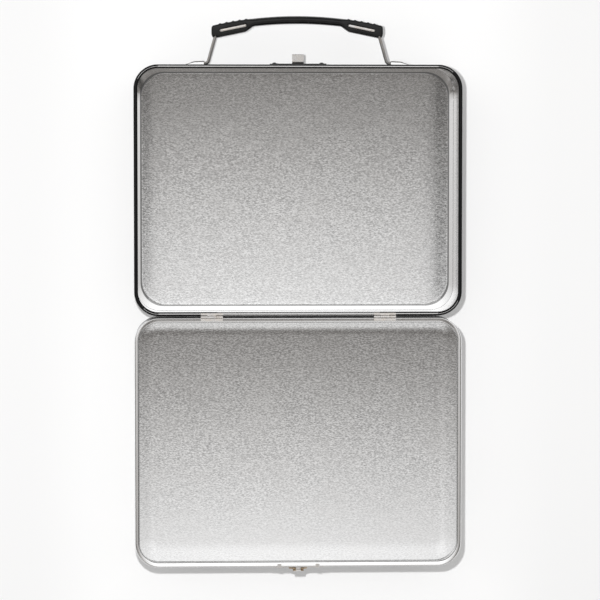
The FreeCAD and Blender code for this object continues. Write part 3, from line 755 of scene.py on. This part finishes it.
def bent_path(corners, bends):
    """Points of a line in a plane with its corners rounded."""
    corners = [Vector(corner) for corner in corners]
    points = [corners[0]]
    for before, corner, after, bend in zip(corners, corners[1:], corners[2:], bends):
        inward = (before - corner).normalized()
        outward = (after - corner).normalized()
        half_angle = inward.angle(outward) / 2
        middle = corner + (inward + outward).normalized() * bend / math.sin(half_angle)
        start = (corner + inward * bend / math.tan(half_angle) - middle).normalized()
        end = (corner + outward * bend / math.tan(half_angle) - middle).normalized()
        points += [middle + start.slerp(end, step / BEND_STEPS) * bend for step in range(BEND_STEPS + 1)]
    return points + [corners[-1]]


def on_handle(side, x, y, z):
    """A point given from the handle's axis, on one side of the box."""
    return Vector((side * x, HANDLE.y + y, HANDLE.z + z))


def dome(tip, inward, along, radius):
    """Rings of a wire's rounded end from its tip inwards, as their middle, direction and size."""
    rings = []
    for degrees in DOME_DEGREES:
        angle = math.radians(degrees)
        rings.append((tip + inward * radius * (1 - math.cos(angle)), along, radius * math.sin(angle)))
    return rings


def tube(name, side, radius, materials):
    """A wire along the bent path, with domed ends, round up to its last bend and squarer in the grip;
    materials are those of the round part and of the part in the grip."""
    path = bent_path(WIRE_CORNERS, WIRE_BENDS)
    legs = [(after - before).normalized() for before, after in zip(path, path[1:])]
    turns = [(before + after).normalized() for before, after in zip(legs, legs[1:])]
    last_leg = legs[-1]
    rings = dome(path[0], legs[0], legs[0], radius)
    rings += [(point, turn, radius) for point, turn in zip(path[1:-1], turns)]
    first_in_grip = len(rings)
    rings.append((path[-2] + last_leg * radius, last_leg, radius))
    rings += reversed(dome(path[-1], -last_leg, last_leg, radius))
    points = []
    for ring, (middle, along, size) in enumerate(rings):
        power = BAR_POWER if ring >= first_in_grip else 1.0
        for step in range(WIRE_SIDES):
            angle = 2 * math.pi * step / WIRE_SIDES
            out = size * rounded_power(math.cos(angle), power)
            up = size * rounded_power(math.sin(angle), power)
            points.append(on_handle(side, middle.x - along.y * out, middle.y + along.x * out, up))
    faces = grid_faces(len(rings), WIRE_SIDES, close_columns=True)
    slots = [0 if face // WIRE_SIDES < first_in_grip else 1 for face in range(len(faces))]
    faces.append(tuple(range(WIRE_SIDES)))
    faces.append(tuple(range(len(points) - WIRE_SIDES, len(points))))
    return new_piece(name, points, faces, materials, slots + [0, 1])


def grip_crest(x):
    """Height of the grip's arch over the axis."""
    return GRIP_CROWN - GRIP_ARCH + math.sqrt(GRIP_ARCH ** 2 - x ** 2)


def grip_under(x):
    """Height of the grip's underside: thin in the middle, then a slope, then a block."""
    x = abs(x)
    knots = [
        (GRIP_SLOPE_START, grip_crest(GRIP_SLOPE_START) - GRIP_MIDDLE),
        GRIP_TOE,
        GRIP_HEEL,
        (GRIP_HALF, GRIP_END_Y),
    ]
    if x < GRIP_SLOPE_START:
        return grip_crest(x) - GRIP_MIDDLE
    for (start_x, start_y), (end_x, end_y) in zip(knots, knots[1:]):
        if x <= end_x:
            return start_y + (end_y - start_y) * (x - start_x) / (end_x - start_x)
    return GRIP_END_Y


def grip_rib(x):
    """Height of the ribs on the blocks' arch side."""
    from_first = (abs(x) - RIB_FIRST) / RIB_PITCH
    nearest = min(max(round(from_first), 0), RIB_COUNT - 1)
    share = abs(from_first - nearest) * RIB_PITCH / (RIB_WIDTH / 2)
    return RIB_HEIGHT * math.cos(share * math.pi / 2) if share < 1 else 0.0


def grip():
    """A loft along X, oval in the middle and boxy in the blocks, with rounded ends."""
    z_middle = (GRIP_ABOVE - GRIP_BELOW) / 2
    z_half = (GRIP_ABOVE + GRIP_BELOW) / 2
    points = []
    for step in range(GRIP_STEPS + 1):
        x = GRIP_HALF * (2 * step / GRIP_STEPS - 1)
        past_end = max(abs(x) - GRIP_HALF + GRIP_ROUND, 0.0) / GRIP_ROUND
        shrink = GRIP_ROUND * (1 - math.sqrt(1 - past_end ** 2))
        crest = grip_crest(x)
        nearby = [grip_under(x + GRIP_SOFTEN * shift) for shift in GRIP_SHIFTS]
        under = sum(nearby) / len(nearby)
        boxy = ease((abs(x) - GRIP_SLOPE_START) / (GRIP_TOE[0] - GRIP_SLOPE_START))
        power = 2 / (GRIP_OVAL + (GRIP_BOXY - GRIP_OVAL) * boxy)
        for side in range(GRIP_SIDES):
            angle = 2 * math.pi * side / GRIP_SIDES
            up = rounded_power(math.cos(angle), power)
            out = rounded_power(math.sin(angle), power)
            y = (crest + under) / 2 + ((crest - under) / 2 - shrink) * up + grip_rib(x) * max(up, 0.0)
            points.append(on_handle(1, x, y, z_middle + (z_half - shrink) * out))
    faces = grid_faces(GRIP_STEPS + 1, GRIP_SIDES, close_columns=True)
    faces.append(tuple(range(GRIP_SIDES)))
    faces.append(tuple(range(len(points) - GRIP_SIDES, len(points))))
    return new_piece("grip", points, faces, [PLASTIC])


def window(side):
    """A cutter for the long opening over a wire's upper leg."""
    lower = Vector(WIRE_CORNERS[-2])
    upper = Vector(WIRE_CORNERS[-1])
    along = (upper - lower).normalized()
    across = Vector((-along.y, along.x))
    half = WIRE_RADIUS + WINDOW_GAP
    ends = [lower + along * ((x - lower.x) / along.x) for x in WINDOW_ENDS]
    round_end = [(along * math.sin(turn) + across * math.cos(turn)) * half for turn in HALF_TURN]
    outline = [ends[0] + point for point in round_end]
    outline += [ends[1] - point for point in round_end]
    points = [on_handle(side, point.x, point.y, -half) for point in outline]
    points += [on_handle(side, point.x, point.y, 2 * half) for point in outline]
    count = len(outline)
    faces = grid_faces(2, count, close_columns=True) + [tuple(range(count)), tuple(range(count, 2 * count))]
    return new_piece("window", points, faces, [PLASTIC])


def louver_height(x):
    """How far a louver stands off the wall, from its mouth to its tip."""
    if x < LOUVER_SHOULDER:
        share = (x - LOUVER_MOUTH) / (LOUVER_SHOULDER - LOUVER_MOUTH)
        return LOUVER_MOUTH_HEIGHT + (LOUVER_SHOULDER_HEIGHT - LOUVER_MOUTH_HEIGHT) * share
    share = (x - LOUVER_SHOULDER) / (LOUVER_TIP - LOUVER_SHOULDER)
    return LOUVER_SHOULDER_HEIGHT * (1 - share)


def louver(name, side):
    """A hood pressed out of the wall, open towards the middle of the box."""
    points = []
    for step in range(LOUVER_STEPS + 1):
        x = LOUVER_MOUTH + (LOUVER_TIP - LOUVER_MOUTH) * step / LOUVER_STEPS
        height = max(louver_height(x), LOUVER_LEAST)
        inner_width = LOUVER_HALF_WIDTH - GAUGE
        inner_height = height - GAUGE
        arch = []
        for turn in range(LOUVER_SIDES + 1):
            angle = math.pi * turn / LOUVER_SIDES
            across = rounded_power(math.cos(angle), LOUVER_POWER)
            out = rounded_power(math.sin(angle), LOUVER_POWER)
            arch.append((across, out))
        ring = [(LOUVER_HALF_WIDTH * across, height * out) for across, out in arch]
        ring += [(inner_width * across, inner_height * out) for across, out in reversed(arch)]
        wall_y = HALF_LENGTH - LOUVER_SINK
        points += [Vector((side * x, wall_y + out, HANDLE.z + across)) for across, out in ring]
    columns = 2 * (LOUVER_SIDES + 1)
    faces = grid_faces(LOUVER_STEPS + 1, columns, close_columns=True)
    for first in (0, LOUVER_STEPS * columns):
        last = first + columns - 1
        for turn in range(LOUVER_SIDES):
            faces.append((first + turn, first + turn + 1, last - turn - 1, last - turn))
    return new_piece(name, points, faces, [BAND_TIN])


def wall_slot(side):
    """A cutter for the opening that a louver leaves in the wall."""
    half = LOUVER_HALF_WIDTH - GAUGE
    points = [
        Vector((side * x, y, HANDLE.z + z))
        for x in (LOUVER_MOUTH, LOUVER_TIP - SLOT_SHORT)
        for y in (HALF_LENGTH - SLOT_INSIDE, HALF_LENGTH + SLOT_OUTSIDE)
        for z in (-half, half)
    ]
    faces = [(0, 1, 3, 2), (4, 6, 7, 5), (0, 4, 5, 1), (2, 3, 7, 6), (0, 2, 6, 4), (1, 5, 7, 3)]
    return new_piece("slot", points, faces, [BAND_TIN])


handle_grip = grip()
for side_name, side in SIDES.items():
    cut(handle_grip, window(side))
    cut(handle_grip, tube("bore", side, WIRE_RADIUS + BORE_GAP, [PLASTIC, PLASTIC]))
    cut(body_shell, wall_slot(side))
    # The wire's part in the grip gets the paler steel, a painted highlight
    wire = tube("wire_" + side_name, side, WIRE_RADIUS, [WIRE_STEEL, BAR_PAINTED_HIGHLIGHT])
    dressed(wire, "handle", "nickel", "handle_wire_" + side_name)
    hood = louver("louver_" + side_name, side)
    dressed(hood, "body", "tin_enamelled")
dressed(handle_grip, "handle", "black_plastic", "handle_grip")

# Hardware keeps its CAD shapes
NODE_MATERIALS = {
    "keeper_hook": HOOK_NICKEL,
    "hasp_plate": BRIGHT_NICKEL,
    "hinge_leaf_body_left": BRIGHT_NICKEL,
    "hinge_leaf_body_right": BRIGHT_NICKEL,
    "hinge_leaf_lid_left": BRIGHT_NICKEL,
    "hinge_leaf_lid_right": BRIGHT_NICKEL,
    "keeper_plate": BLACKENED,
    "keeper_rivets": BLACKENED,
    "hasp_pin": BRASS,
    "hasp": BRASS,
}
for name, node in frame["nodes"].items():
    if node.hide_render:
        continue
    node.data.materials.clear()
    node.data.materials.append(NODE_MATERIALS.get(name, NICKEL))


# Camera, floor and light

# The camera looks from above the body's left half at the middle of the picture; RIM_SCALE is a pixel's size
# at the height of the rim
IMAGE_SIZE = 600
RIM_SCALE = 0.658 * MM
AIM = Vector((1.0 * MM, -72.0 * MM, RIM_Z))
CAMERA_PLACE = Vector((-71.7 * MM, 26.3 * MM, 1800 * MM))
CAMERA_FAR = 20.0
SENSOR_WIDTH = 36.0
# The floor's grey close to the box and away from it, over a distance, and how much of it is its own glow
FLOOR_SIZE = 6.0
FLOOR_GAP = 0.2 * MM
FLOOR_NEAR = 0.985
FLOOR_FAR = 0.89
FLOOR_FADE = 75 * MM
FLOOR_GLOW = 0.24
FLOOR_GLOW_LEVEL = 0.95
# A small lamp that casts the shadow
KEY_PLACE = Vector((-90 * MM, 55 * MM, 1360 * MM))
KEY_WATTS = 49.0
KEY_RADIUS = 12 * MM
# The room over the box, by how far a direction leans from straight up towards the handle, in radians: dim
# on the lid's side up to a bright strip, brighter on the handle's side, and dim beyond both
ROOM_LIGHT = [
    (-0.84, 0.10),
    (-0.76, 1.05),
    (-0.60, 1.05),
    (-0.52, 0.60),
    (-0.46, 0.30),
    (-0.41, 0.18),
    (-0.35, 0.20),
    (-0.28, 0.235),
    (-0.21, 0.31),
    (-0.14, 0.48),
    (-0.06, 0.75),
    (0.02, 0.85),
    (0.12, 1.10),
    (0.26, 1.33),
    (0.56, 1.33),
    (0.74, 0.10),
]
ROOM_WARMTH = 0.07
# How it varies sideways, by a direction's X
ROOM_ACROSS = [
    (-0.80, 0.15),
    (-0.55, 1.00),
    (-0.35, 0.85),
    (-0.20, 0.84),
    (0.00, 1.00),
    (0.20, 0.84),
    (0.35, 0.85),
    (0.45, 0.95),
    (0.65, 0.15),
]
# The backdrop, by a direction's Z: full up to the first height and gone at the second
BACKDROP_LEVEL = 0.9
BACKDROP_RISE = (0.12, 0.25)


def add_camera():
    data = bpy.data.cameras.new("camera")
    camera = add_object("camera", data)
    camera.location = CAMERA_PLACE
    backwards = CAMERA_PLACE - AIM
    reach = backwards.length
    backwards.normalize()
    rightwards = Vector((0, 1, 0)).cross(backwards).normalized()
    upwards = backwards.cross(rightwards)
    camera.rotation_euler = Matrix((rightwards, upwards, backwards)).transposed().to_euler()
    data.sensor_width = SENSOR_WIDTH
    data.lens = SENSOR_WIDTH * reach / (IMAGE_SIZE * RIM_SCALE)
    data.clip_end = CAMERA_FAR
    bpy.context.scene.camera = camera


def pale_floor():
    """A matt grey that is a little paler close to the box, where the box takes some of its light."""
    shader = Shader("pale_floor", Roughness=0.9, Specular_IOR_Level=0.0)
    place = shader.axes(shader.place)
    gaps = []
    for axis, low, high in zip("XY", cad_low, cad_high):
        from_middle = shader.math("SUBTRACT", place[axis], (low + high) / 2)
        gaps.append(shader.math("SUBTRACT", shader.math("ABSOLUTE", from_middle), (high - low) / 2))
    outside = shader.math("MAXIMUM", *gaps)
    away = shader.remap(outside, 0.0, FLOOR_FADE, interpolation="SMOOTHSTEP")
    material = shader.finish(shader.mix(away, grey(FLOOR_NEAR), grey(FLOOR_FAR)))
    glow = shader.node("ShaderNodeEmission", {"Color": grey(FLOOR_GLOW_LEVEL), "Strength": 1.0})
    blend = shader.node(
        "ShaderNodeMixShader",
        {
            0: shader.math("MULTIPLY", shader.seen(), FLOOR_GLOW),
            1: shader.surface.outputs["BSDF"],
            2: glow.outputs["Emission"],
        },
    )
    shader.feed(shader.tree.nodes["Material Output"].inputs["Surface"], blend.outputs["Shader"])
    return material


def add_floor():
    mesh = bpy.data.meshes.new("floor")
    half = FLOOR_SIZE / 2
    corners = [(-half, -half, 0), (half, -half, 0), (half, half, 0), (-half, half, 0)]
    mesh.from_pydata(corners, [], [(0, 1, 2, 3)])
    mesh.materials.append(pale_floor())
    floor = add_object("floor", mesh)
    floor.location.z = -FLOOR_GAP


def add_key():
    data = bpy.data.lights.new("key", "POINT")
    data.energy = KEY_WATTS
    data.shadow_soft_size = KEY_RADIUS
    key = add_object("key", data)
    key.location = KEY_PLACE
    key.visible_glossy = False


def add_room():
    world = bpy.data.worlds.new("studio")
    bpy.context.scene.world = world
    world.use_nodes = True
    room = Nodes(world.node_tree)
    direction = room.axes(room.node("ShaderNodeTexCoord").outputs["Generated"])
    lean = room.math("ARCTAN2", direction["Y"], direction["Z"])
    along, along_highest = room.ramp(lean, ROOM_LIGHT, ROOM_WARMTH)
    across, across_highest = room.ramp(direction["X"], ROOM_ACROSS)
    background = room.tree.nodes["Background"]
    room.feed(background.inputs["Color"], along)
    room.feed(background.inputs["Strength"], room.math("MULTIPLY", across, along_highest * across_highest))
    # Towards the horizon the backdrop is pale, for what is seen straight or in metal
    full, gone = BACKDROP_RISE
    low = room.remap(direction["Z"], gone, full)
    backdrop = room.node("ShaderNodeBackground", {"Color": grey(BACKDROP_LEVEL)})
    sky = room.node(
        "ShaderNodeMixShader",
        {
            0: room.math("MULTIPLY", low, room.seen()),
            1: background.outputs["Background"],
            2: backdrop.outputs["Background"],
        },
    )
    room.feed(room.tree.nodes["World Output"].inputs["Surface"], sky.outputs["Shader"])


add_camera()
add_floor()
add_key()
add_room()
bpy.context.scene.view_settings.view_transform = "Standard"
